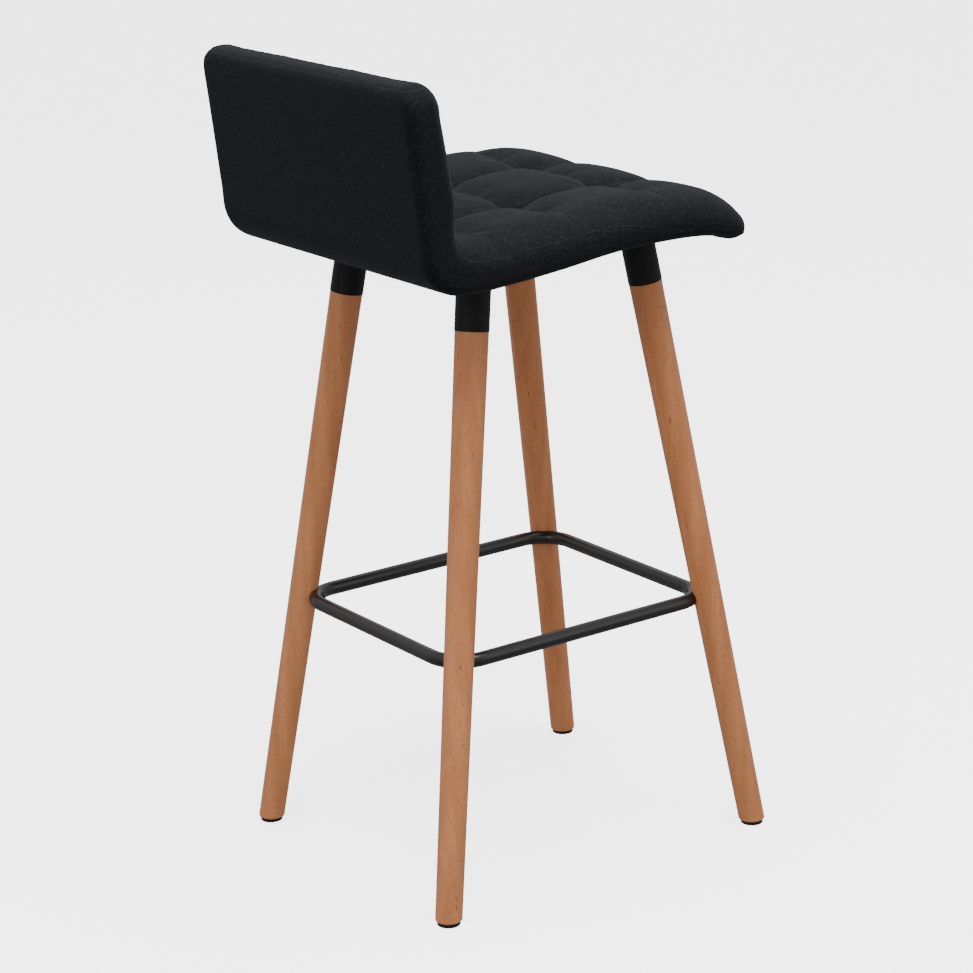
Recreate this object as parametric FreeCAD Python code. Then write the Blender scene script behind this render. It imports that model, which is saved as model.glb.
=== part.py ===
import FreeCAD, Part
import math
import os
from FreeCAD import Placement, Rotation, Vector

# Bar stool with a low upholstered back, four turned beech legs in steel sockets and a
# bent-tube footrest. Millimetres, +Z up, floor at Z = 0, the sitter faces -Y.
# The origin is the bottom centre of the whole stool's box.

# ---- legs and feet ----
LEG_CENTRE_Y = -8.1
FOOT_HALF_X = 193.0
FOOT_HALF_Y = 228.6
LEG_REF_Z = 720.0
LEG_REF_HALF_X = 122.9
LEG_REF_HALF_Y = 118.1
LEG_R_FLOOR = 15.8
LEG_R_REF = 19.7
LEG_END_ROUND = 2.0
GLIDE_H = 5.0
GLIDE_R = 13.6
NAIL_R = 1.5
NAIL_LENGTH = 20.0

# ---- sockets ----
SOCKET_BOTTOM_Z = {"front": 687.0, "rear": 670.0}
SOCKET_R = 19.9
SOCKET_WALL = 2.0
TENON_GAP = 0.1
TENON_TOP_GAP = 8.0
SOCKET_SCREW_UP = 40.0
SOCKET_SCREW_R = 2.0
SOCKET_SCREW_HEAD_R = 4.0
SOCKET_SCREW_HEAD_H = 2.2
SOCKET_SCREW_SINK = 0.6
SOCKET_SCREW_LENGTH = 16.0

# ---- footrest ----
RING_Z = 294.8
RING_HALF_X = 159.2
RING_HALF_Y = 187.2
RING_BEND_R = 42.0
RING_TUBE_R = 8.5
RING_WALL = 1.5
SADDLE_GAP = 0.05
RING_SCREW_R = 2.2
RING_SCREW_HEAD_R = 4.6
RING_SCREW_HEAD_H = 2.6
RING_SCREW_BITE = 14.0

# ---- upholstered shell: L-shaped side profile ----
SEAT_WIDTH = 428.0
RECLINE_DEG = 6.4
SEAT_RISE_DEG = 2.8
BEND_Y = 184.5
BEND_Z = 780.5
COVER_BEND_R = 47.0
SHELL_BEND_R = 38.0
SHELL_T = 10.0
SHELL_WIDTH = 396.0
SHELL_BACK_LENGTH = 165.0
SHELL_SEAT_LENGTH = 372.0
COVER_BACK_LENGTH = 180.0
BACK_CORNER_R = 30.0
SEAT_CORNER_R = 22.0
SKIRT_WIDTH = 22.0
CREASE_Y = 174.0
CREASE_Z = 799.0
DUST_COVER_T = 1.0

# ---- mounting plate under the shell, in the seat's own sloping plane ----
PLATE_T = 3.0
PLATE_X = 296.0
PLATE_Y = 288.0
PLATE_CORNER_R = 16.0
BOLT_PLACES = [(66, 128), (134, 46)]
BOLT_R = 3.0
BOLT_GAP = 0.1
NUT_BARREL_R = 4.4
NUT_FLANGE_R = 8.5
NUT_FLANGE_T = 1.2
WASHER_R = 8.0
WASHER_T = 1.5
BOLT_HEAD_R = 5.5
BOLT_HEAD_H = 4.0

BIG = 1000.0
SIDES = {"left": 1, "right": -1}
ENDS = {"front": -1, "rear": 1}
CORNERS = [(end, side) for end in ENDS for side in SIDES]


def save(name, *shapes):
    shape = shapes[0] if len(shapes) == 1 else Part.makeCompound(list(shapes))
    shape.exportStep(f"parts/{name}.step")


def line(a, b):
    return Part.LineSegment(a, b).toShape()


def arc(a, b, c):
    return Part.Arc(a, b, c).toShape()


def curve(points, start=None, end=None):
    spline = Part.BSplineCurve()
    if start and end:
        spline.interpolate(Points=points, InitialTangent=start, FinalTangent=end)
    else:
        spline.interpolate(Points=points)
    return spline.toShape()


def side_point(y, z):
    return Vector(0, y, z)


def prism(edges, width):
    """The closed side outline, drawn out to a width across the stool."""
    face = Part.Face(Part.Wire(edges))
    face.translate(Vector(-width / 2, 0, 0))
    return face.extrude(Vector(width, 0, 0))


# ---------------------------------------------------------------- directions

recline = math.radians(RECLINE_DEG)
rise = math.radians(SEAT_RISE_DEG)
BEND_CENTRE = side_point(BEND_Y, BEND_Z)
BACK_UP = side_point(math.sin(recline), math.cos(recline))
BACK_OUT = side_point(math.cos(recline), -math.sin(recline))
SEAT_FORWARD = side_point(-math.cos(rise), math.sin(rise))
SEAT_DOWN = side_point(-math.sin(rise), -math.cos(rise))
BEND_OUT = (BACK_OUT + SEAT_DOWN).normalize()


def on_back(radius, length):
    """A point on the back's plane, radius out from the bend's centre, length up from it."""
    return BEND_CENTRE + BACK_OUT * radius + BACK_UP * length


def on_seat(radius, length):
    return BEND_CENTRE + SEAT_DOWN * radius + SEAT_FORWARD * length


def bend_arc(radius):
    return arc(on_back(radius, 0), BEND_CENTRE + BEND_OUT * radius, on_seat(radius, 0))


# ---------------------------------------------------------------- upholstery


def cover_outline():
    """The whole upholstered body from the side: rear, bend, underside, front roll, seat, back, top."""
    rear_top = on_back(COVER_BEND_R, COVER_BACK_LENGTH)
    rear_low = on_back(COVER_BEND_R, 0)
    under_rear = on_seat(COVER_BEND_R, 0)
    lip = side_point(-203, 741)
    seat_front = side_point(-165, 799)
    seat_rear = side_point(150, 789)
    back_low = side_point(183, 815)
    back_high = side_point(204, 942)
    return [
        line(rear_top, rear_low),
        bend_arc(COVER_BEND_R),
        curve([under_rear, side_point(80, 736.5), side_point(-58, 752), side_point(-150, 749), lip]),
        curve([lip, side_point(-219, 756), side_point(-207, 781), seat_front]),
        curve([seat_front, side_point(-100, 804), side_point(40, 797), seat_rear]),
        arc(seat_rear, side_point(173, 798), back_low),
        line(back_low, back_high),
        arc(back_high, side_point(225, 970), rear_top),
    ]


def rounded_rectangle(low_x, low_y, high_x, high_y, radii):
    """A flat outline with its own radius at each corner: low-low, high-low, high-high, low-high."""
    corners = [(low_x, low_y), (high_x, low_y), (high_x, high_y), (low_x, high_y)]
    turns = [(0, 1), (-1, 0), (0, -1), (1, 0)]
    edges = []
    starts = []
    ends = []
    for (x, y), r, after, before in zip(corners, radii, [turns[3], *turns[:3]], turns):
        corner = Vector(x, y, 0)
        leave = Vector(*after, 0) * r
        arrive = Vector(*before, 0) * r
        if r > 0:
            middle = corner + (leave + arrive) * (1 - math.sqrt(0.5))
            edges.append(arc(corner + arrive, middle, corner + leave))
        starts.append(corner + leave)
        ends.append(corner + arrive)
    for k in range(4):
        edges.append(line(starts[k], ends[(k + 1) % 4]))
    return Part.Face(Part.Wire(Part.__sortEdges__(edges)))


def seen_from_above():
    """The body's plan: the seat's front corners are round, the back's are square."""
    half = SEAT_WIDTH / 2
    radii = [SEAT_CORNER_R, SEAT_CORNER_R, 0, 0]
    face = rounded_rectangle(-half, -221, half, BIG, radii)
    return face.extrude(Vector(0, 0, 2 * BIG))


def seen_from_behind():
    """The body's rear view: the back's top corners are round."""
    half = SEAT_WIDTH / 2
    face = rounded_rectangle(-half, 0, half, 970.0, [0, 0, BACK_CORNER_R, BACK_CORNER_R])
    face.rotate(Vector(0, 0, 0), Vector(1, 0, 0), 90)
    face.translate(Vector(0, BIG, 0))
    return face.extrude(Vector(0, -2 * BIG, 0))


def make_body():
    return prism(cover_outline(), SEAT_WIDTH).common(seen_from_above()).common(seen_from_behind())


def make_shell():
    """Bent plywood, one thickness throughout, in the middle of the upholstery."""
    outer = SHELL_BEND_R
    inner = SHELL_BEND_R - SHELL_T
    edges = [
        line(on_back(outer, SHELL_BACK_LENGTH), on_back(outer, 0)),
        bend_arc(outer),
        line(on_seat(outer, 0), on_seat(outer, SHELL_SEAT_LENGTH)),
        line(on_seat(outer, SHELL_SEAT_LENGTH), on_seat(inner, SHELL_SEAT_LENGTH)),
        line(on_seat(inner, SHELL_SEAT_LENGTH), on_seat(inner, 0)),
        bend_arc(inner),
        line(on_back(inner, 0), on_back(inner, SHELL_BACK_LENGTH)),
        line(on_back(inner, SHELL_BACK_LENGTH), on_back(outer, SHELL_BACK_LENGTH)),
    ]
    shell = prism(edges, SHELL_WIDTH)
    in_from_edge = (SEAT_WIDTH - SHELL_WIDTH) / 2
    half = SHELL_WIDTH / 2
    radius = SEAT_CORNER_R - in_from_edge
    front_y = on_seat(outer, SHELL_SEAT_LENGTH).y - 1
    plan = rounded_rectangle(-half, front_y, half, BIG, [radius, radius, 0, 0])
    return shell.common(plan.extrude(Vector(0, 0, 2 * BIG)))


def front_side_of_shell():
    """All the space above and in front of the shell's middle, which the quilted cover fills."""
    middle = SHELL_BEND_R - SHELL_T / 2
    edges = [
        line(on_back(middle, BIG), on_back(middle, 0)),
        bend_arc(middle),
        line(on_seat(middle, 0), on_seat(middle, BIG)),
        line(on_seat(middle, BIG), on_seat(-BIG, BIG)),
        line(on_seat(-BIG, BIG), on_back(middle, BIG)),
    ]
    return prism(edges, 2 * BIG)


def below_seat_crease():
    """The part of that space that is seat: below a sloping plane through the crease at the back's foot."""
    crease = side_point(CREASE_Y, CREASE_Z)
    slope = (SEAT_FORWARD + BACK_UP).normalize()
    edges = [
        line(crease - slope * BIG, crease + slope * BIG),
        line(crease + slope * BIG, side_point(-BIG, crease.z + BIG)),
        line(side_point(-BIG, crease.z + BIG), side_point(-BIG, crease.z - BIG)),
        line(side_point(-BIG, crease.z - BIG), crease - slope * BIG),
    ]
    return prism(edges, 2 * BIG)


# ---------------------------------------------------------------- the seat's sloping plane


def plate_placement(down):
    """The seat's own plane, a distance below the shell's underside, over the legs' centre."""
    under = on_seat(SHELL_BEND_R + down, 0)
    forward = (under.y - LEG_CENTRE_Y) / math.cos(rise)
    centre = on_seat(SHELL_BEND_R + down, forward)
    return Placement(centre, Rotation(Vector(1, 0, 0), -SEAT_RISE_DEG))


def placed(shape, placement):
    shape.Placement = placement.multiply(shape.Placement)
    return shape


def slab(width, depth, thickness, radius):
    face = rounded_rectangle(-width / 2, -depth / 2, width / 2, depth / 2, [radius] * 4)
    return face.extrude(Vector(0, 0, thickness))


def bolt_points():
    return [Vector(sx * x, sy * y, 0) for x, y in BOLT_PLACES for sx in (-1, 1) for sy in (-1, 1)]


def make_dust_cover():
    sheet = slab(SHELL_WIDTH - 30, 330, DUST_COVER_T, 30)
    for p in bolt_points():
        sheet = sheet.cut(Part.makeCylinder(BOLT_R + BOLT_GAP, DUST_COVER_T, p))
    return placed(sheet, plate_placement(DUST_COVER_T))


def make_plate():
    plate = slab(PLATE_X, PLATE_Y, PLATE_T, PLATE_CORNER_R)
    for p in bolt_points():
        plate = plate.cut(Part.makeCylinder(BOLT_R + 0.4, PLATE_T, p))
    return placed(plate, plate_placement(DUST_COVER_T + PLATE_T))


def make_bolts():
    """Hexagon bolts from below, washers under their heads and tee nuts let into the shell."""
    under_plate = DUST_COVER_T + PLATE_T
    seat = plate_placement(under_plate)
    bolts = []
    washers = []
    nuts = []
    for p in bolt_points():
        head_low = p - Vector(0, 0, WASHER_T + BOLT_HEAD_H)
        corners = [
            head_low + Vector(BOLT_HEAD_R * math.cos(a), BOLT_HEAD_R * math.sin(a), 0)
            for a in [math.radians(60 * k) for k in range(6)]
        ]
        head = Part.Face(Part.makePolygon([*corners, corners[0]])).extrude(Vector(0, 0, BOLT_HEAD_H))
        shank_length = WASHER_T + under_plate + SHELL_T - 1.5
        shank = Part.makeCylinder(BOLT_R, shank_length, p - Vector(0, 0, WASHER_T))
        bolts.append(placed(head.fuse(shank).removeSplitter(), seat))
        ring = Part.makeCylinder(WASHER_R, WASHER_T, p - Vector(0, 0, WASHER_T))
        bore = Part.makeCylinder(BOLT_R + 0.3, WASHER_T, p - Vector(0, 0, WASHER_T))
        washers.append(placed(ring.cut(bore), seat))
        low = p + Vector(0, 0, under_plate)
        top = low + Vector(0, 0, SHELL_T - NUT_FLANGE_T)
        nut = Part.makeCylinder(NUT_BARREL_R, SHELL_T, low)
        nut = nut.fuse(Part.makeCylinder(NUT_FLANGE_R, NUT_FLANGE_T, top)).removeSplitter()
        hole = Part.makeCylinder(BOLT_R + BOLT_GAP, SHELL_T, low)
        nuts.append((placed(nut.copy(), seat), placed(nut.cut(hole), seat)))
    return bolts, washers, nuts


# ---------------------------------------------------------------- legs


class Leg:
    """One leg's axis and the shapes along it."""

    def __init__(self, end, side):
        self.end, self.side = end, side
        sx, sy = SIDES[side], ENDS[end]
        self.foot = Vector(sx * FOOT_HALF_X, LEG_CENTRE_Y + sy * FOOT_HALF_Y, 0)
        top = Vector(sx * LEG_REF_HALF_X, LEG_CENTRE_Y + sy * LEG_REF_HALF_Y, LEG_REF_Z)
        self.axis = (top - self.foot).normalize()
        self.socket_z = SOCKET_BOTTOM_Z[end]

    def at(self, z):
        return self.foot + self.axis * (z / self.axis.z)

    def radius(self, z):
        return LEG_R_FLOOR + (LEG_R_REF - LEG_R_FLOOR) * z / LEG_REF_Z

    def inward(self):
        """Square to the leg, towards the stool's middle."""
        across = Vector(-self.foot.x, LEG_CENTRE_Y - self.foot.y, 0)
        return (across - self.axis * across.dot(self.axis)).normalize()

    def wood(self):
        low_z = -30.0
        low = self.at(low_z)
        shoulder = self.at(self.socket_z)
        length = (shoulder - low).Length
        body = Part.makeCone(self.radius(low_z), self.radius(self.socket_z), length, low, self.axis)
        floor_cut = Part.makeBox(400, 400, 200, Vector(low.x - 200, low.y - 200, GLIDE_H - 200))
        body = body.cut(floor_cut)
        lowest = [e for e in body.Edges if e.BoundBox.ZMax < GLIDE_H + 0.1]
        body = body.makeFillet(LEG_END_ROUND, lowest)
        tenon_r = SOCKET_R - SOCKET_WALL - TENON_GAP
        plate_z = plate_placement(DUST_COVER_T + PLATE_T).Base.z
        tenon_top = self.at(plate_z - TENON_TOP_GAP - 12)
        tenon = Part.makeCylinder(tenon_r, (tenon_top - shoulder).Length, shoulder, self.axis)
        return body.fuse(tenon).removeSplitter()

    def socket(self):
        low = self.at(self.socket_z) + self.axis * 0.2
        length = 140.0
        tube = Part.makeCylinder(SOCKET_R, length, low, self.axis)
        tube = tube.cut(Part.makeCylinder(SOCKET_R - SOCKET_WALL, length, low, self.axis))
        above = Part.makeBox(BIG, BIG, BIG, Vector(-BIG / 2, -BIG / 2, 0))
        return tube.cut(placed(above, plate_placement(DUST_COVER_T + PLATE_T)))

    def socket_screw(self):
        """A countersunk screw, flush with the socket, on the side that faces the stool's middle."""
        centre = self.at(self.socket_z) + self.axis * SOCKET_SCREW_UP
        inward = self.inward()
        outside = centre + inward * (SOCKET_R - SOCKET_SCREW_SINK)
        head = Part.makeCone(SOCKET_SCREW_HEAD_R, SOCKET_SCREW_R, SOCKET_SCREW_HEAD_H, outside, inward * -1)
        shank = Part.makeCylinder(SOCKET_SCREW_R, SOCKET_SCREW_LENGTH, outside, inward * -1)
        return head.fuse(shank).removeSplitter()

    def glide(self):
        centre = self.at(GLIDE_H)
        disc = Part.makeCylinder(GLIDE_R, GLIDE_H, Vector(centre.x, centre.y, 0))
        rim = [e for e in disc.Edges if e.BoundBox.ZMax < 0.1]
        return disc.makeFillet(1.2, rim)

    def nail(self):
        """Holds the glide: its head is sunk in the glide, its point is in the leg."""
        head = self.at(GLIDE_H) - Vector(0, 0, GLIDE_H - 2)
        shank = Part.makeCylinder(NAIL_R, NAIL_LENGTH, head)
        return shank.fuse(Part.makeCylinder(4.0, 1.2, head)).removeSplitter()

    def ring_bend_centre(self):
        sx, sy = SIDES[self.side], ENDS[self.end]
        half_x, half_y = RING_HALF_X - RING_BEND_R, RING_HALF_Y - RING_BEND_R
        return Vector(sx * half_x, LEG_CENTRE_Y + sy * half_y, RING_Z)

    def ring_screw(self):
        """A round-headed screw through the footrest's corner into the leg."""
        centre = self.ring_bend_centre()
        outward = (self.at(RING_Z) - centre).normalize()
        seat = centre + outward * (RING_BEND_R - RING_TUBE_R + 0.9)
        head = Part.makeCylinder(RING_SCREW_HEAD_R, RING_SCREW_HEAD_H, seat, outward * -1)
        head = head.makeFillet(RING_SCREW_HEAD_H - 0.8, [furthest_circle(head, centre, -1)])
        shank = Part.makeCylinder(RING_SCREW_R, 2 * RING_TUBE_R + RING_SCREW_BITE, seat, outward)
        return head.fuse(shank).removeSplitter()


def furthest_circle(shape, point, sign):
    """The round edge whose centre is furthest from a point, or nearest if sign is -1."""
    circles = [e for e in shape.Edges if isinstance(e.Curve, Part.Circle)]
    return max(circles, key=lambda e: sign * (e.Curve.Center - point).Length)


def make_ring():
    """Round tube bent into a closed rounded rectangle, and the rod that cuts its saddles in the legs."""
    half_x, half_y = RING_HALF_X, RING_HALF_Y
    face = rounded_rectangle(-half_x, -half_y, half_x, half_y, [RING_BEND_R] * 4)
    path = face.OuterWire
    path.translate(Vector(0, LEG_CENTRE_Y, RING_Z))
    first = path.OrderedEdges[0]
    start = first.valueAt(first.FirstParameter)
    along = first.tangentAt(first.FirstParameter)

    def rod(radius):
        circle = Part.Wire(Part.makeCircle(radius, start, along))
        return path.makePipeShell([circle], True, True)

    saddle = rod(RING_TUBE_R + SADDLE_GAP)
    return rod(RING_TUBE_R).cut(rod(RING_TUBE_R - RING_WALL)), saddle


# ---------------------------------------------------------------- assembly


def main():
    os.makedirs("parts", exist_ok=True)

    body = make_body()
    shell = make_shell()
    bolts, washers, nuts = make_bolts()
    front_side = front_side_of_shell()
    quilted = body.common(front_side).cut(shell)
    seat_side = below_seat_crease()
    save("seat_cushion", quilted.common(seat_side))
    save("back_cushion", quilted.cut(seat_side))
    window = slab(SEAT_WIDTH - 2 * SKIRT_WIDTH, 338, 200, 30)
    window = placed(window, plate_placement(200))
    save("rear_cover", body.cut(front_side).cut(shell).cut(window))
    for filled, _nut in nuts:
        shell = shell.cut(filled)
    save("seat_shell", shell)
    save("dust_cover", make_dust_cover())
    save("mounting_plate", make_plate())
    save("mounting_bolts", *bolts)
    save("mounting_washers", *washers)
    save("tee_nuts", *[nut for _filled, nut in nuts])

    ring, saddle = make_ring()
    ring_screws = []
    socket_screws = []
    nails = []
    for end, side in CORNERS:
        leg = Leg(end, side)
        ring_screw = leg.ring_screw()
        socket_screw = leg.socket_screw()
        nail = leg.nail()
        wood = leg.wood().cut(saddle)
        for fixing in (ring_screw, socket_screw, nail):
            wood = wood.cut(fixing)
        save(f"leg_{end}_{side}", wood)
        save(f"socket_{end}_{side}", leg.socket().cut(socket_screw))
        save(f"glide_{end}_{side}", leg.glide().cut(nail))
        ring = ring.cut(ring_screw)
        ring_screws.append(ring_screw)
        socket_screws.append(socket_screw)
        nails.append(nail)
    save("footrest_ring", ring)
    save("footrest_screws", *ring_screws)
    save("socket_screws", *socket_screws)
    save("glide_nails", *nails)


main()
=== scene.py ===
import math

import bmesh
import bpy
import numpy as np
from mathutils import Matrix, Vector


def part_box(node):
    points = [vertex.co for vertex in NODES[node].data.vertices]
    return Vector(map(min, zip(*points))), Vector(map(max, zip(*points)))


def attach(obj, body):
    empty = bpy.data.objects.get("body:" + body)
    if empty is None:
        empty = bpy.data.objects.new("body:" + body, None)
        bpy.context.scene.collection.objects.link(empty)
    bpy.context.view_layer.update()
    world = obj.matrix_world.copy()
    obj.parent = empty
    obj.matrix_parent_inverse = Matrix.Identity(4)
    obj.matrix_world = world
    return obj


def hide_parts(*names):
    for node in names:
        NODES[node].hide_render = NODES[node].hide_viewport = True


# Bar stool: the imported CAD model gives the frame. The upholstery, the dust cloth and the staples
# are made here; legs, sockets, footrest, screws and glides keep their CAD shapes. Metres.

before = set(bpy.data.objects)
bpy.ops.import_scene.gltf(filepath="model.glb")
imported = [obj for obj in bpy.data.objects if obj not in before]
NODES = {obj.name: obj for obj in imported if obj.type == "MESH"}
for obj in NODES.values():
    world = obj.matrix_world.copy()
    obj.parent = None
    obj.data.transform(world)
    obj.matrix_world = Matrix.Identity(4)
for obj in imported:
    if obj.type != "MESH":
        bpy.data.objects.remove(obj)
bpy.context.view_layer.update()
MM = 0.001

# ---------------------------------------------------------------- camera

LEGS_Y = -0.0081
CAMERA_AT = Vector((-2.701, 1.9317 + LEGS_Y, 1.4586))
CAMERA_TARGET = Vector((0.0303, LEGS_Y, 0.4259))
CAMERA_LENS = 107.48
CAMERA_ROLL = math.radians(-1.642)


def make_camera():
    data = bpy.data.cameras.new("camera")
    data.lens = CAMERA_LENS
    data.sensor_width = 36.0
    data.clip_end = 60.0
    camera = bpy.data.objects.new("camera", data)
    bpy.context.scene.collection.objects.link(camera)
    back = (CAMERA_AT - CAMERA_TARGET).normalized()
    level = Vector((-back.y, back.x, 0)).normalized()
    above = back.cross(level)
    right = level * math.cos(CAMERA_ROLL) + above * math.sin(CAMERA_ROLL)
    up = above * math.cos(CAMERA_ROLL) - level * math.sin(CAMERA_ROLL)
    turn = Matrix((right, up, back)).transposed()
    camera.matrix_world = Matrix.Translation(CAMERA_AT) @ turn.to_4x4()
    bpy.context.scene.camera = camera


make_camera()

# ---------------------------------------------------------------- node helpers


class Shader:
    """A material's node tree, built up by short calls."""

    def __init__(self, name):
        self.material = bpy.data.materials.new(name)
        self.material.use_nodes = True
        self.tree = self.material.node_tree
        self.bsdf = self.tree.nodes["Principled BSDF"]

    def node(self, kind, inputs=(), **settings):
        made = self.tree.nodes.new(kind)
        for key, value in settings.items():
            setattr(made, key, value)
        for key, value in dict(inputs).items():
            self.put(made, key, value)
        return made

    def put(self, node, key, value):
        if isinstance(value, bpy.types.NodeSocket):
            self.tree.links.new(value, node.inputs[key])
        else:
            node.inputs[key].default_value = value

    def coordinates(self, source="Object", scale=(1, 1, 1), turn=(0, 0, 0), move=(0, 0, 0)):
        base = self.node("ShaderNodeTexCoord").outputs[source]
        inputs = {"Vector": base, "Scale": scale, "Rotation": turn, "Location": move}
        return self.node("ShaderNodeMapping", inputs).outputs["Vector"]

    def noise(self, vector, scale, detail=3.0, roughness=0.5):
        inputs = {"Vector": vector, "Scale": scale, "Detail": detail, "Roughness": roughness}
        return self.node("ShaderNodeTexNoise", inputs).outputs["Fac"]

    def ramp(self, value, stops):
        made = self.node("ShaderNodeValToRGB", {"Fac": value})
        elements = made.color_ramp.elements
        while len(elements) < len(stops):
            elements.new(0.5)
        for element, (place, colour) in zip(elements, stops):
            element.position = place
            element.color = (*colour, 1) if hasattr(colour, "__len__") else (colour, colour, colour, 1)
        return made.outputs["Color"]

    def mix(self, factor, a, b, blend="MIX"):
        made = self.node("ShaderNodeMix", data_type="RGBA", blend_type=blend)
        self.put(made, 0, factor)
        self.put(made, 6, a if isinstance(a, bpy.types.NodeSocket) else (*a, 1))
        self.put(made, 7, b if isinstance(b, bpy.types.NodeSocket) else (*b, 1))
        return made.outputs[2]

    def spread(self, value, low, high):
        """The value from 0 to 1, laid over a range."""
        inputs = {"Value": value, "To Min": low, "To Max": high}
        return self.node("ShaderNodeMapRange", inputs).outputs["Result"]

    def add(self, a, b):
        return self.node("ShaderNodeMath", {0: a, 1: b}, operation="ADD").outputs[0]

    def times(self, a, b):
        return self.node("ShaderNodeMath", {0: a, 1: b}, operation="MULTIPLY").outputs[0]

    def bump(self, height, strength, distance):
        inputs = {"Height": height, "Strength": strength, "Distance": distance}
        self.put(self.bsdf, "Normal", self.node("ShaderNodeBump", inputs).outputs["Normal"])

    def set(self, **values):
        for key, value in values.items():
            self.put(self.bsdf, key.replace("_", " "), value)


# ---------------------------------------------------------------- materials


def fabric_material():
    """Near-black woven cloth with fine pale slubs along the warp. Its UVs are metres on the cloth."""
    s = Shader("fabric")
    slub = s.noise(s.coordinates("UV", (1500, 210, 1)), 1.0, 2.0, 0.6)
    long_slub = s.noise(s.coordinates("UV", (1250, 120, 1)), 1.0, 2.0, 0.5)
    weft = s.noise(s.coordinates("UV", (260, 1400, 1)), 1.0, 2.0, 0.6)
    patch = s.noise(s.coordinates("UV", (22, 14, 1)), 1.0, 3.0, 0.5)
    dark = (0.0020, 0.0022, 0.0028)
    middle = (0.0076, 0.0083, 0.0102)
    pale = (0.050, 0.053, 0.061)
    cloth = s.mix(s.ramp(slub, [(0.36, 0.0), (0.66, 1.0)]), dark, middle)
    cloth = s.mix(s.ramp(long_slub, [(0.55, 0.0), (0.78, 0.50)]), cloth, pale)
    cloth = s.mix(s.ramp(weft, [(0.56, 0.0), (0.80, 0.45)]), cloth, pale)
    cloth = s.mix(s.ramp(patch, [(0.3, 0.0), (0.7, 0.22)]), cloth, middle)
    threads = s.add(s.times(slub, 0.6), s.add(s.times(weft, 0.5), s.times(long_slub, 0.4)))
    s.set(Base_Color=cloth, Roughness=s.spread(weft, 0.82, 0.97))
    s.set(Specular_IOR_Level=0.08, Sheen_Weight=0.06, Sheen_Roughness=0.45)
    s.set(Sheen_Tint=(0.80, 0.84, 0.92, 1))
    s.bump(threads, 0.75, 0.0007)
    return s.material


def beech_material(name, turn, move):
    """Lacquered beech: broad growth bands, fine pores and short dark flecks, all along the grain."""
    s = Shader(name)
    bands = s.noise(s.coordinates("Object", (62, 62, 2.2), turn, move), 1.0, 3.0, 0.55)
    streaks = s.noise(s.coordinates("Object", (420, 420, 11), turn, move), 1.0, 3.0, 0.6)
    flecks = s.noise(s.coordinates("Object", (1050, 1050, 190), turn, move), 1.0, 1.0, 0.4)
    spots = s.noise(s.coordinates("Object", (150, 150, 60), turn, move), 1.0, 1.0, 0.5)
    pale = (0.60, 0.245, 0.100)
    warm = (0.47, 0.170, 0.062)
    brown = (0.24, 0.075, 0.028)
    wood = s.mix(s.ramp(bands, [(0.32, 0.0), (0.68, 1.0)]), pale, warm)
    wood = s.mix(s.ramp(streaks, [(0.42, 0.0), (0.78, 0.55)]), wood, warm)
    wood = s.mix(s.ramp(flecks, [(0.60, 0.0), (0.72, 0.55)]), wood, brown)
    wood = s.mix(s.ramp(spots, [(0.735, 0.0), (0.79, 0.7)]), wood, brown)
    s.set(Base_Color=wood, Roughness=s.spread(streaks, 0.36, 0.50))
    s.set(Specular_IOR_Level=0.34, Coat_Weight=0.10, Coat_Roughness=0.34)
    s.bump(s.add(s.times(streaks, 0.5), s.times(flecks, 0.5)), 0.25, 0.0004)
    return s.material


def coated_material(name, colour, worn, rough, specular, grain, bump):
    """Painted or moulded black: orange-peel texture and a slightly uneven gloss."""
    s = Shader(name)
    at = s.coordinates("Object")
    peel = s.noise(at, grain, 2.0, 0.5)
    cloud = s.noise(at, 38.0, 3.0, 0.5)
    rub = s.noise(at, 210.0, 4.0, 0.7)
    base = s.mix(s.ramp(cloud, [(0.35, 0.0), (0.75, 0.5)]), colour, worn)
    base = s.mix(s.ramp(rub, [(0.66, 0.0), (0.80, 0.5)]), base, worn)
    uneven = s.add(s.times(cloud, 0.6), s.times(rub, 0.4))
    s.set(Base_Color=base, Roughness=s.spread(uneven, *rough), Specular_IOR_Level=specular)
    s.bump(peel, bump, 0.0003)
    return s.material


def steel_material():
    s = Shader("zinc_steel")
    at = s.coordinates("Object", (900, 900, 160))
    brush = s.noise(at, 1.0, 3.0, 0.6)
    base = s.mix(s.ramp(brush, [(0.3, 0.0), (0.7, 1.0)]), (0.50, 0.49, 0.45), (0.66, 0.66, 0.63))
    s.set(Base_Color=base, Roughness=s.spread(brush, 0.24, 0.42), Metallic=1.0)
    s.bump(brush, 0.15, 0.0002)
    return s.material


def ply_material():
    """Bare plywood: thin plies on its edges and long grain on its faces."""
    s = Shader("plywood")
    grain = s.noise(s.coordinates("Object", (9, 260, 260)), 1.0, 4.0, 0.6)
    base = s.mix(s.ramp(grain, [(0.35, 0.0), (0.7, 1.0)]), (0.50, 0.33, 0.19), (0.36, 0.21, 0.11))
    s.set(Base_Color=base, Roughness=s.spread(grain, 0.55, 0.75))
    s.bump(grain, 0.3, 0.0004)
    return s.material


def felt_material():
    """The thin non-woven dust cloth."""
    s = Shader("dust_cloth")
    fibres = s.noise(s.coordinates("Object", (700, 700, 700)), 1.0, 4.0, 0.75)
    dots = s.node("ShaderNodeTexVoronoi", {"Vector": s.coordinates("Object"), "Scale": 420.0})
    base = s.mix(s.ramp(fibres, [(0.4, 0.0), (0.75, 1.0)]), (0.010, 0.010, 0.011), (0.036, 0.036, 0.038))
    s.set(Base_Color=base, Roughness=s.spread(fibres, 0.85, 1.0), Specular_IOR_Level=0.15)
    s.bump(s.add(s.times(fibres, 0.5), dots.outputs["Distance"]), 0.6, 0.0004)
    return s.material


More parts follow.
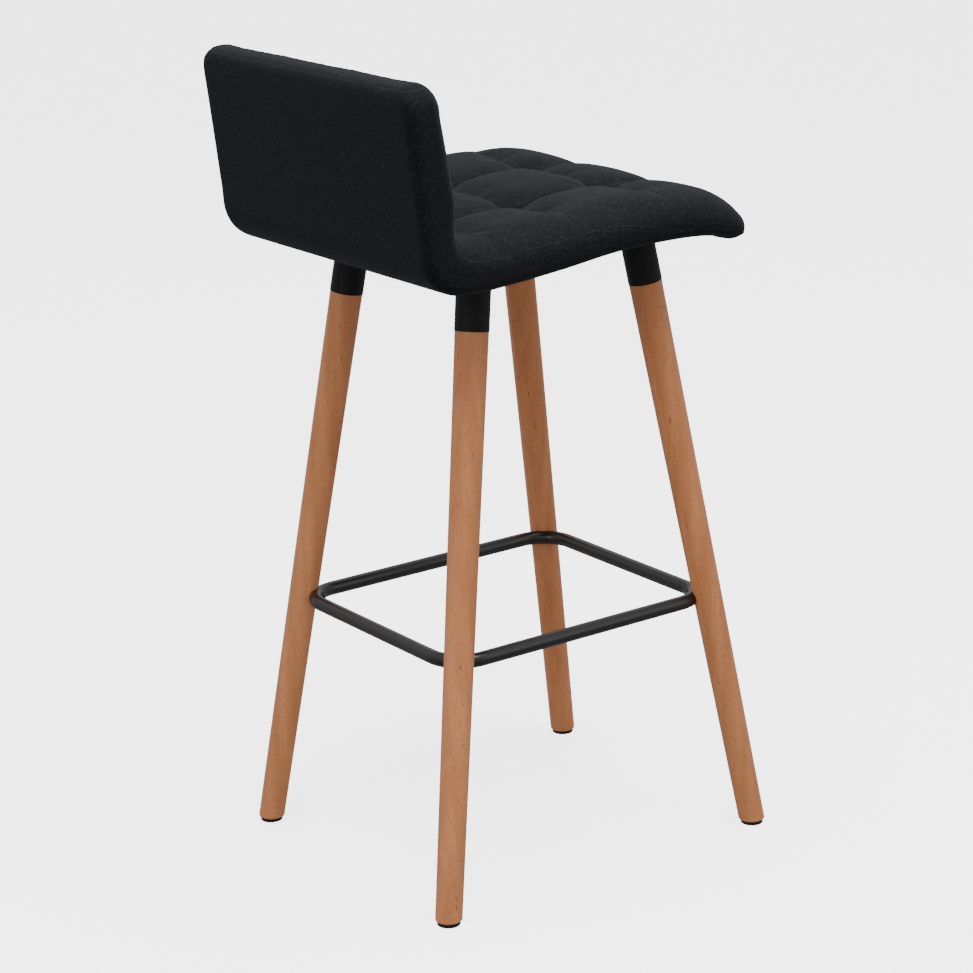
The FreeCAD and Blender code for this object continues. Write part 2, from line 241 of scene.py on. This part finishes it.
FABRIC = fabric_material()
BLACK = (0.0035, 0.0035, 0.0040)
GREY_BLACK = (0.0080, 0.0080, 0.0090)
SOCKET_COAT = coated_material("powder_coat", BLACK, GREY_BLACK, (0.42, 0.60), 0.20, 1500.0, 0.35)
RING_PAINT = coated_material("ring_paint", BLACK, GREY_BLACK, (0.22, 0.36), 0.52, 700.0, 0.12)
PLASTIC = coated_material("glide_plastic", BLACK, GREY_BLACK, (0.45, 0.65), 0.30, 1100.0, 0.40)
STEEL = steel_material()

# ---------------------------------------------------------------- upholstery: its lines

# Pairs along the L-shaped body, from the seat's front edge to the back's top, in mm:
# (y, z) on the quilted side, then (y, z) on the outer side.
STATIONS = [
    ((-216, 748), (-211, 743.5)),
    ((-219.5, 757), (-202, 740.5)),
    ((-214, 769.5), (-188, 742.5)),
    ((-201, 783), (-173, 746.5)),
    ((-182, 793), (-157, 749)),
    ((-157, 799), (-139, 750.5)),
    ((-100, 803), (-93, 751.5)),
    ((-30, 800.5), (-28, 749.5)),
    ((40, 796), (50, 741)),
    ((105, 791.5), (118, 735.5)),
    ((142, 789), (165, 733.3)),
    ((163, 792.5), (198, 736.3)),
    ((174.5, 800), (219, 748.5)),
    ((181, 811), (229.5, 764.5)),
    ((186.5, 840), (234.5, 800)),
    ((194, 885), (241.2, 860)),
    ((201.3, 928), (248, 920)),
    ((205, 947), (251, 947)),
    ((209.5, 957.5), (251, 957)),
    ((216.5, 965), (247, 963.5)),
    ((226, 968.5), (239, 968)),
]
HALF_WIDTH = 0.2145
FRONT_Y = -0.2195
FRONT_CORNER = 0.022
TOP_Z = 0.969
TOP_CORNER = 0.030

# The stitched lines divide the width in three. Each press is (depth, width of its hollow).
CREASE_X = (-0.071, 0.071)
SEAT_CREASE_Y = (-0.112, 0.018, 0.138)
BACK_CREASE_Z = 0.872
LINE_PRESS = (0.0050, 0.016)
WIDE_PRESS = (0.0035, 0.040)
TUFT_PRESS = (0.0115, 0.026)
SIDE_FADE = (0.125, 0.180)
NOSE_FADE = (0.020, 0.090)
TOP_FADE = 0.045

# The grid's spacing, and the half width that its evenly graded columns cover.
COARSE = 0.0062
FINE = 0.0024
FIXED_X = 0.134


def bell(distance, width):
    return np.exp(-((distance / width) ** 2))


def between(value, ends):
    """How far a value has gone from the first end to the second."""
    return (value - ends[0]) / (ends[1] - ends[0])


def smooth(value):
    """0 to 1 with an easy start and finish."""
    t = np.clip(value, 0, 1)
    return t * t * (3 - 2 * t)


def hermite(params, values, at):
    """A smooth curve through the values, one per param, read at the places in at."""
    slopes = np.gradient(values, params, axis=0)
    k = np.clip(np.searchsorted(params, at, side="right") - 1, 0, len(params) - 2)
    span = (params[k + 1] - params[k])[:, None]
    u = ((at - params[k])[:, None]) / span
    a, b = values[k], values[k + 1]
    return (
        a * (1 + 2 * u) * (1 - u) ** 2
        + slopes[k] * span * u * (1 - u) ** 2
        + b * u * u * (3 - 2 * u)
        + slopes[k + 1] * span * u * u * (u - 1)
    )


def graded(start, end, marks):
    """Places from start to end, close together near the marks."""
    fine = np.linspace(start, end, 400)
    density = np.full(400, 1 / COARSE)
    for mark in marks:
        density += (1 / FINE - 1 / COARSE) * np.exp(-(((fine - mark) / 0.008) ** 2))
    total = np.concatenate([[0], np.cumsum((density[1:] + density[:-1]) / 2 * np.diff(fine))])
    steps = max(2, round(total[-1]))
    return np.interp(np.linspace(0, total[-1], steps + 1), total, fine)


def graded_chain(stops, marks):
    runs = [graded(a, b, marks)[:-1] for a, b in zip(stops, stops[1:])]
    return np.concatenate([*runs, [stops[-1]]])


def body_rows():
    """Matched points of the quilted and the outer side, one pair a row, and where the creases fall."""
    inner = np.array([p for p, _ in STATIONS]) * MM
    outer = np.array([p for _, p in STATIONS]) * MM
    steps = np.linalg.norm(np.diff((inner + outer) / 2, axis=0), axis=1)
    params = np.concatenate([[0], np.cumsum(steps)])
    fine = np.linspace(0, params[-1], 4000)
    path = hermite(params, inner, fine)
    along = np.concatenate([[0], np.cumsum(np.linalg.norm(np.diff(path, axis=0), axis=1))])
    seat = fine < params[10]
    marks = [along[np.argmin(np.where(seat, abs(path[:, 0] - y), 9))] for y in SEAT_CREASE_Y]
    marks.append(along[np.argmin(np.where(seat, 9, abs(path[:, 1] - BACK_CREASE_Z)))])
    rows = graded_chain([0, *marks, along[-1]], marks)
    t = np.interp(rows, along, fine)
    return rows, hermite(params, inner, t), hermite(params, outer, t), marks


def corner_inset(distance, radius):
    """How far a rounded corner has come in, at a distance from the end."""
    d = np.clip(distance, 0, radius)
    return radius - np.sqrt(radius**2 - (radius - d) ** 2)


# ---------------------------------------------------------------- upholstery: the closed form

EDGE_STEPS = 7
SIDE_STEPS = 13
OUTER_PARTS = 6
UNDER_ROUND = 0.013
SEAT_EDGE = np.array([0.052, 0.034])
BACK_EDGE = np.array([0.020, 0.018])

# The side seam's height as a share of the thickness: on the seat, on the back and near the front.
SEAM_ON_SEAT = 0.66
SEAM_RISE_ON_BACK = 0.30
SEAM_DROP_AT_FRONT = 0.42
SEAM_DROP_Y = (-0.005, -0.135)
BACK_FROM_Z = (0.775, 0.825)
PANEL_FRONT_Y = -0.178
PANEL_TOP_Z = 0.9605
STITCH_REACH = 0.0012
STITCH_DEPTH = 0.003


def edge_path(width, thick, soft, seam_at):
    """The right-hand edge of a section, from the quilted side round to the outer side."""
    wide, tall = soft
    tall = min(tall, 0.62 * thick)
    low = min(UNDER_ROUND, 0.34 * thick)
    half = math.pi / 2
    angles = np.linspace(half, 0, 40)
    path = [(width - wide + wide * math.cos(a), thick - tall + tall * math.sin(a)) for a in angles]
    path += [(width - low + low * math.cos(a), low + low * math.sin(a)) for a in -angles[::-1]]
    path = np.array(path)
    length = np.concatenate([[0], np.cumsum(np.linalg.norm(np.diff(path, axis=0), axis=1))])
    seam = float(np.interp(-seam_at * thick, -path[:, 1], length))
    places = [seam * k / EDGE_STEPS for k in range(1, EDGE_STEPS + 1)]
    places += [seam + (length[-1] - seam) * k / SIDE_STEPS for k in range(1, SIDE_STEPS + 1)]
    across = np.interp(places, length, path[:, 0])
    height = np.interp(places, length, path[:, 1])
    return list(zip(across.tolist(), height.tolist()))


def ring_at(width, thick, soft, seam_at):
    """(x, height) all round one section: quilted side, right edge, outer side, left edge."""
    flat = width - soft[0]
    middle = graded_chain([-FIXED_X, *CREASE_X, FIXED_X], CREASE_X)
    wing = [FIXED_X + (flat - FIXED_X) * k / OUTER_PARTS for k in range(1, OUTER_PARTS + 1)]
    top = [-x for x in reversed(wing)] + list(middle) + wing
    edge = edge_path(width, thick, soft, seam_at)
    end = edge[-1][0]
    under = [(x * end / flat, 0.0) for x in reversed(top[1:-1])]
    points = [(x, thick) for x in top] + edge + under + [(-x, height) for x, height in reversed(edge)]
    return points, len(top)


class Body:
    """The whole upholstered body as one closed grid: rows along the L, columns all round it."""

    def __init__(self):
        rows, inner, outer, self.row_marks = body_rows()
        self.rows = rows
        count = len(rows)
        middle = (inner + outer) / 2
        width = HALF_WIDTH - corner_inset(middle[:, 0] - FRONT_Y, FRONT_CORNER)
        width -= corner_inset(TOP_Z - middle[:, 1], TOP_CORNER)
        on_back = np.clip(between(middle[:, 1], BACK_FROM_Z), 0, 1)
        soft = SEAT_EDGE + (BACK_EDGE - SEAT_EDGE) * on_back[:, None]
        ends = np.clip(np.minimum(rows, rows[-1] - rows) / 0.05, 0.12, 1) ** 0.5
        soft[:, 0] *= ends
        drop = SEAM_DROP_AT_FRONT * smooth(between(middle[:, 0], SEAM_DROP_Y))
        seam_at = SEAM_ON_SEAT + SEAM_RISE_ON_BACK * on_back - drop
        grid = []
        for k in range(count):
            through = inner[k] - outer[k]
            thick = float(np.linalg.norm(through))
            ring, self.top_count = ring_at(width[k], thick, soft[k], seam_at[k])
            grid.append([(x, *(outer[k] + through * height / thick)) for x, height in ring])
        self.grid = np.array(grid)
        self.outer = outer
        self.columns = self.grid.shape[1]
        self.through = (inner - outer) / np.linalg.norm(inner - outer, axis=1)[:, None]

    def seam_columns(self):
        right = self.top_count - 1 + EDGE_STEPS
        return right, self.columns - EDGE_STEPS

    def patch(self):
        """Rows and columns, ends included, of the outer cover's panel."""
        first = int(np.argmax(self.outer[:, 0] > PANEL_FRONT_Y))
        last = int(np.argmax(self.outer[:, 1] > PANEL_TOP_Z))
        right, left = self.seam_columns()
        return first, last, right, left

    def index(self, row, column):
        return row * self.columns + column % self.columns


def quilt(body):
    """Presses the stitched lines and the tufts where they cross into the quilted side."""
    x = body.grid[:, :, 0]
    s = np.repeat(body.rows[:, None], body.columns, axis=1)
    near_x = np.min([abs(x - c) for c in CREASE_X], axis=0)
    near_s = np.min([abs(s - c) for c in body.row_marks], axis=0)
    nearest = np.minimum(near_x, near_s)
    depth = LINE_PRESS[0] * bell(nearest, LINE_PRESS[1])
    depth += WIDE_PRESS[0] * bell(nearest, WIDE_PRESS[1])
    depth += TUFT_PRESS[0] * bell(np.hypot(near_x, near_s), TUFT_PRESS[1])
    on_top = np.zeros(body.columns)
    on_top[: body.top_count] = 1
    depth *= on_top * (1 - smooth(between(abs(x), SIDE_FADE)))
    front = smooth(between(body.rows, NOSE_FADE))
    top = np.clip((body.rows[-1] - body.rows) / TOP_FADE, 0.10, 1)
    depth *= (front * top)[:, None]
    stitched = (nearest < STITCH_REACH) & (depth > STITCH_DEPTH)
    body.grid[:, :, 1:] -= depth[:, :, None] * body.through[:, None, :]
    return stitched


def ring_mesh(name, grid):
    """A mesh of the grid's quads, closed all round and open at both ends."""
    rows, columns = grid.shape[:2]
    faces = []
    for i in range(rows - 1):
        for j in range(columns):
            here = i * columns + j
            beside = i * columns + (j + 1) % columns
            faces.append((here, beside, beside + columns, here + columns))
    mesh = bpy.data.meshes.new(name)
    mesh.from_pydata(grid.reshape(-1, 3).tolist(), [], faces)
    return mesh


def cap_ends(body, mesh):
    """Closes the first and last rings with a ladder of quads from one side to the other."""
    bm = bmesh.new()
    bm.from_mesh(mesh)
    bm.verts.ensure_lookup_table()
    start = body.top_count - 1 + (EDGE_STEPS + SIDE_STEPS) // 2
    for row in (0, body.grid.shape[0] - 1):
        for k in range(body.columns // 2):
            steps = (start - k, start - k - 1, start + k + 1, start + k)
            corners = dict.fromkeys(bm.verts[body.index(row, step)] for step in steps)
            bm.faces.new(corners)
    bmesh.ops.recalc_face_normals(bm, faces=bm.faces)
    bm.to_mesh(mesh)
    bm.free()


PRESSURE = 3.2
CLOTH_SPARE = 0.020
CLOTH_FRAMES = 18
MOST_MOVE = 0.0045


def simulate(obj, pinned):
    """Blows the cloth up between its stitched lines; returns where its points were and their moves."""
    start = np.array([v.co[:] for v in obj.data.vertices])
    group = obj.vertex_groups.new(name="stitched")
    group.add([int(k) for k in np.flatnonzero(pinned)], 1.0, "REPLACE")
    modifier = obj.modifiers.new("cloth", "CLOTH")
    cloth = modifier.settings
    cloth.vertex_group_mass = "stitched"
    cloth.quality = 7
    cloth.mass = 0.25
    cloth.tension_stiffness = 18.0
    cloth.compression_stiffness = 12.0
    cloth.shear_stiffness = 6.0
    cloth.bending_stiffness = 0.35
    cloth.use_pressure = True
    cloth.uniform_pressure_force = PRESSURE
    cloth.shrink_min = -CLOTH_SPARE
    cloth.effector_weights.gravity = 0.0
    modifier.collision_settings.use_collision = False
    modifier.point_cache.frame_start = 1
    modifier.point_cache.frame_end = CLOTH_FRAMES
    scene = bpy.context.scene
    for number in range(1, CLOTH_FRAMES + 1):
        scene.frame_set(number)
    shown = obj.evaluated_get(bpy.context.evaluated_depsgraph_get())
    end = np.array([v.co[:] for v in shown.data.vertices])
    obj.modifiers.remove(modifier)
    obj.vertex_groups.remove(group)
    scene.frame_set(1)
    move = end - start
    length = np.linalg.norm(move, axis=1, keepdims=True)
    return start, move * (MOST_MOVE * np.tanh(length / MOST_MOVE) / np.maximum(length, 1e-9))


def grid_normals(grid):
    """Outward directions of the closed grid's points."""
    along = np.gradient(grid, axis=0)
    around = np.roll(grid, -1, axis=1) - np.roll(grid, 1, axis=1)
    normal = np.cross(around, along)
    length = np.linalg.norm(normal, axis=2, keepdims=True)
    normal = normal / np.maximum(length, 1e-12)
    centre = grid.mean(axis=1, keepdims=True)
    if np.sum((grid - centre) * normal) < 0:
        normal = -normal
    return normal


def finish_piece(obj, levels, material):
    mesh = obj.data
    mesh.materials.clear()
    mesh.materials.append(material)
    mesh.shade_smooth()
    if levels:
        modifier = obj.modifiers.new("subdivision", "SUBSURF")
        modifier.levels = levels
        modifier.render_levels = levels
    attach(obj, "root")


def linked(name, data):
    """An object in the scene that holds the mesh, curve or light."""
    obj = bpy.data.objects.new(name, data)
    bpy.context.scene.collection.objects.link(obj)
    return obj


def write_uvs(mesh, places):
    """places holds each vertex's (u, v) on the cloth, in metres."""
    layer = mesh.uv_layers.new(name="cloth")
    for loop in mesh.loops:
        layer.data[loop.index].uv = places[loop.vertex_index]


def cloth_places(body):
    """Distance round the section from its middle, and distance along the L, column by column."""
    around = np.linalg.norm(np.roll(body.grid, -1, axis=1) - body.grid, axis=2)
    u = np.concatenate([np.zeros((len(body.rows), 1)), np.cumsum(around, axis=1)[:, :-1]], axis=1)
    u -= u[:, : body.top_count].mean(axis=1, keepdims=True)
    along = np.linalg.norm(np.diff(body.grid, axis=0), axis=2)
    v = np.concatenate([np.zeros((1, body.columns)), np.cumsum(along, axis=0)])
    v -= v[len(body.rows) * 2 // 3]
    return np.stack([u, v], axis=2)


SEAM_SINK = 0.0003
TUCKS = (0.0012, 0.0035, 0.0100)


def puff_up(body, stitched, panel):
    """Lets the cloth swell between the stitches, less and less towards the side seams."""
    mesh = ring_mesh("quilted_cover_start", body.grid)
    cap_ends(body, mesh)
    start = linked("quilted_cover_start", mesh)
    pinned = stitched | panel
    pinned[:2] = True
    pinned[-1:] = True
    before, move = simulate(start, pinned.reshape(-1))
    right, left = body.seam_columns()
    column = np.arange(body.columns)
    from_seam = np.minimum(abs(column - right), abs(column - left))
    calm = smooth(from_seam / (EDGE_STEPS - 0.5))[None, :, None]
    body.grid = before.reshape(body.grid.shape) + move.reshape(body.grid.shape) * calm
    bpy.data.objects.remove(start)


def make_upholstery():
    body = Body()
    stitched = quilt(body)
    places = cloth_places(body).reshape(-1, 2)
    first, last, right, left = body.patch()
    panel = np.zeros(body.grid.shape[:2], bool)
    panel[first : last + 1, right : left + 1] = True
    puff_up(body, stitched, panel)
    normals = grid_normals(body.grid)
    make_quilted_cover(body, panel, normals, places)
    make_outer_cover(body, (first, last, right, left), normals, places)


def make_quilted_cover(body, panel, normals, places):
    """Seat and back's quilted cover with its foam: a closed form that passes inside the outer cover."""
    grid = body.grid.copy()
    depth = np.where(panel, SEAM_SINK, 0.0)
    inside = panel
    for tuck in TUCKS:
        outer_ring = inside
        inside = outer_ring & np.roll(outer_ring, 1, axis=1) & np.roll(outer_ring, -1, axis=1)
        inside[1:-1] &= outer_ring[2:] & outer_ring[:-2]
        depth[inside] = tuck
    grid -= normals * depth[:, :, None]
    mesh = ring_mesh("quilted_cover", grid)
    cap_ends(body, mesh)
    obj = linked("quilted_cover", mesh)
    write_uvs(mesh, places)
    finish_piece(obj, 1, FABRIC)
    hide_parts("seat_cushion", "back_cushion")


WINDOW_HALF_X = 0.172
WINDOW_Y = (-0.150, 0.138)
PANEL_THICK = 0.0075


def make_outer_cover(body, limits, normals, places):
    """Rear panel, bend and skirt: one padded panel with an opening under the seat."""
    first, last, right, left = limits
    grid = body.grid[first : last + 1, right : left + 1]
    out = normals[first : last + 1, right : left + 1]
    rows, columns = grid.shape[:2]
    low_side = (body.through[first : last + 1, 1] > 0.8)[:, None]
    in_window = (abs(grid[:, :, 0]) < WINDOW_HALF_X) & low_side & (out[:, :, 2] < -0.8)
    in_window &= (grid[:, :, 1] > WINDOW_Y[0]) & (grid[:, :, 1] < WINDOW_Y[1])
    faces = []
    for i in range(rows - 1):
        for j in range(columns - 1):
            corners = [(i, j), (i, j + 1), (i + 1, j + 1), (i + 1, j)]
            if not all(in_window[c] for c in corners):
                faces.append([r * columns + c for r, c in corners])
    mesh = bpy.data.meshes.new("outer_cover")
    mesh.from_pydata(grid.reshape(-1, 3).tolist(), [], faces)
    index = body.index(np.arange(first, last + 1)[:, None], np.arange(right, left + 1)[None, :])
    write_uvs(mesh, places[index.reshape(-1)])
    obj = linked("outer_cover", mesh)
    bm = bmesh.new()
    bm.from_mesh(mesh)
    loose = [v for v in bm.verts if not v.link_faces]
    bmesh.ops.delete(bm, geom=loose, context="VERTS")
    bm.normal_update()
    if sum((f.calc_center_median() - Vector((0, 0, 0.80))).dot(f.normal) for f in bm.faces) < 0:
        bmesh.ops.reverse_faces(bm, faces=bm.faces)
    bm.to_mesh(mesh)
    bm.free()
    solid = obj.modifiers.new("thickness", "SOLIDIFY")
    solid.thickness = PANEL_THICK
    solid.offset = -1.0
    solid.edge_crease_outer = 1.0
    solid.edge_crease_rim = 1.0
    finish_piece(obj, 1, FABRIC)
    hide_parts("rear_cover")


make_upholstery()

# ---------------------------------------------------------------- dust cloth and staples

SEAT_RISE = math.radians(2.8)
CLOTH_HALF = (0.183, 0.165)
PLATE_HALF = (0.148, 0.144)
STAPLE_X = 0.161
STAPLES_A_SIDE = 9
STAPLE_HALF = 0.005


def under_seat(across, forward, down):
    """A point in the seat's own sloping plane, measured from the dust cloth's middle."""
    low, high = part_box("dust_cover")
    ahead = Vector((0, -math.cos(SEAT_RISE), math.sin(SEAT_RISE)))
    below = Vector((0, -math.sin(SEAT_RISE), -math.cos(SEAT_RISE)))
    middle = (Vector(low) + Vector(high)) / 2
    return middle + Vector((across, 0, 0)) + ahead * forward + below * down


def make_dust_cloth():
    """Thin cloth stapled under the shell: flat beneath the plate, slightly loose round it."""
    wide, deep = 60, 54
    points = []
    for j in range(deep + 1):
        for i in range(wide + 1):
            across = CLOTH_HALF[0] * (2 * i / wide - 1)
            forward = CLOTH_HALF[1] * (2 * j / deep - 1)
            clear = max(abs(across) - PLATE_HALF[0], abs(forward) - PLATE_HALF[1], 0)
            loose = min(1, clear / 0.012) * (0.5 + 0.5 * math.sin(forward * 150 + across * 45))
            points.append(under_seat(across, forward, 0.0002 + 0.0012 * loose))
    faces = []
    for j in range(deep):
        for i in range(wide):
            a = j * (wide + 1) + i
            faces.append((a, a + wide + 1, a + wide + 2, a + 1))
    mesh = bpy.data.meshes.new("dust_cloth")
    mesh.from_pydata(points, [], faces)
    obj = linked("dust_cloth", mesh)
    finish_piece(obj, 0, felt_material())
    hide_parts("dust_cover")


def make_staples():
    curve = bpy.data.curves.new("staples", "CURVE")
    curve.dimensions = "3D"
    curve.bevel_depth = 0.0004
    curve.bevel_resolution = 2
    for side in (-1, 1):
        for k in range(STAPLES_A_SIDE):
            forward = 0.130 * (2 * k / (STAPLES_A_SIDE - 1) - 1)
            lean = 0.0012 * math.sin(7.3 * k + side)
            legs = (-STAPLE_HALF, STAPLE_HALF)
            ends = [(legs[0], -0.002), (legs[0], 0.0016), (legs[1], 0.0016), (legs[1], -0.002)]
            spline = curve.splines.new("POLY")
            spline.points.add(len(ends) - 1)
            for point, (step, down) in zip(spline.points, ends):
                place = under_seat(side * STAPLE_X + lean * step / STAPLE_HALF, forward + step, down)
                point.co = (*place, 1)
    obj = linked("staples", curve)
    curve.materials.append(STEEL)
    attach(obj, "root")


make_dust_cloth()
make_staples()

# ---------------------------------------------------------------- CAD nodes' finishes


def paint(name, material):
    mesh = NODES[name].data
    mesh.materials.clear()
    mesh.materials.append(material)


def finish_cad():
    for end, y_sign in (("front", -1), ("rear", 1)):
        for side, x_sign in (("left", 1), ("right", -1)):
            corner = f"{end}_{side}"
            turn = (y_sign * math.radians(-12.0), x_sign * math.radians(-5.5), 0.7 * x_sign + y_sign)
            move = (3.1 * x_sign, 1.7 * y_sign, 0.9 * x_sign + 2.3 * y_sign)
            paint(f"leg_{corner}", beech_material(f"beech_{corner}", turn, move))
            paint(f"socket_{corner}", SOCKET_COAT)
            paint(f"glide_{corner}", PLASTIC)
    paint("footrest_ring", RING_PAINT)
    paint("footrest_screws", RING_PAINT)
    paint("mounting_plate", SOCKET_COAT)
    paint("seat_shell", ply_material())
    for name in ("mounting_bolts", "mounting_washers", "tee_nuts", "socket_screws", "glide_nails"):
        paint(name, STEEL)


finish_cad()

# ---------------------------------------------------------------- floor and light

WORLD_LOW = 0.35
WORLD_HIGH = 1.1


def make_floor():
    mesh = bpy.data.meshes.new("floor")
    size = 14.0
    corners = [(-size, -size, 0), (size, -size, 0), (size, size, 0), (-size, size, 0)]
    mesh.from_pydata(corners, [], [(0, 1, 2, 3)])
    s = Shader("floor")
    tone = s.noise(s.coordinates("Object"), 1.3, 2.0, 0.5)
    white = s.mix(tone, (0.90, 0.90, 0.90), (0.92, 0.92, 0.92))
    s.set(Base_Color=white, Roughness=s.spread(tone, 0.5, 0.6))
    s.set(Emission_Color=(1, 1, 1, 1), Emission_Strength=3.0)
    mesh.materials.append(s.material)
    floor = linked("floor", mesh)
    floor.visible_diffuse = False
    floor.visible_glossy = False


def area_light(name, at, target, size, power, colour=(1, 1, 1)):
    data = bpy.data.lights.new(name, "AREA")
    data.shape = "RECTANGLE"
    data.size, data.size_y = size
    data.energy = power
    data.color = colour
    light = linked(name, data)
    light.location = at
    light.rotation_euler = (Vector(target) - Vector(at)).to_track_quat("-Z", "Y").to_euler()


def make_world():
    """A white dome, bright overhead and dim towards the floor."""
    world = bpy.data.worlds.new("studio")
    world.use_nodes = True
    tree = world.node_tree
    place = tree.nodes.new("ShaderNodeTexCoord")
    split = tree.nodes.new("ShaderNodeSeparateXYZ")
    fade = tree.nodes.new("ShaderNodeMapRange")
    fade.inputs["From Min"].default_value = -0.5
    fade.inputs["From Max"].default_value = 0.9
    fade.inputs["To Min"].default_value = WORLD_LOW
    fade.inputs["To Max"].default_value = WORLD_HIGH
    tree.links.new(place.outputs["Generated"], split.inputs[0])
    tree.links.new(split.outputs["Z"], fade.inputs["Value"])
    tree.links.new(fade.outputs["Result"], tree.nodes["Background"].inputs["Strength"])
    tree.nodes["Background"].inputs["Color"].default_value = (1, 1, 1, 1)
    bpy.context.scene.world = world


make_floor()
make_world()
area_light("overhead", (-0.6, 0.2, 3.0), (0, 0, 0.5), (1.8, 1.8), 95)
area_light("left", (-1.2, 3.2, 1.8), (0, 0, 0.5), (1.6, 2.2), 16)
area_light("right", (-3.4, -2.2, 1.6), (0, 0, 0.5), (1.4, 2.2), 10)
